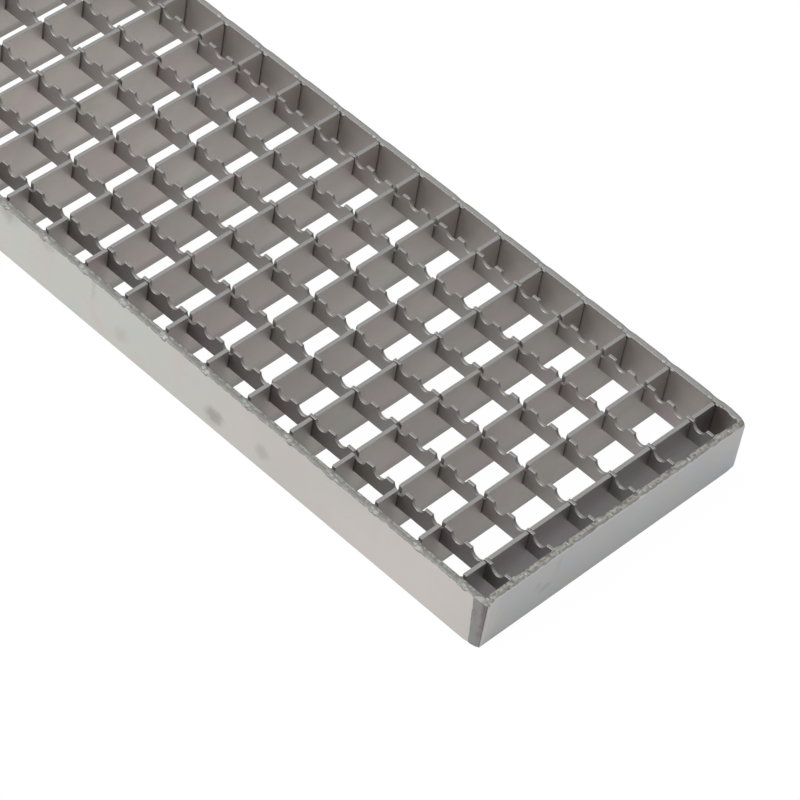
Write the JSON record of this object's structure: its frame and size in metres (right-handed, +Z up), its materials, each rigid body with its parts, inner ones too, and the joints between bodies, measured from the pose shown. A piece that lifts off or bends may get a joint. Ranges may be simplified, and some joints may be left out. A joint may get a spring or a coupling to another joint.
{
  "type": "steel grating panel",
  "caption": "Press-locked stainless grating panel: deep bearing bars, notched anti-slip fillers and a welded flat-bar rim with two bent corners.",
  "frame": {"origin": "middle of the underside, on the level that the panel lies on", "axes": "+X along the panel, across the bearing bars; +Y across it, along the bearing bars; +Z up, towards the notched top"},
  "size_m": [0.75, 0.216, 0.036],
  "materials": {
    "grid_steel": "pickled stainless flat bar, dull, with faint drag lines",
    "band_steel": "pickled stainless flat bar, satin, with faint heat tint by the welds",
    "weld_metal": "ground weld metal, dull and slightly rough"
  },
  "bodies": {
    "root": {"grid": "grid_steel", "band_end_and_far_side": "band_steel", "band_near_side_and_end": "band_steel", "corner_welds": "weld_metal"}
  },
  "joints": []
}
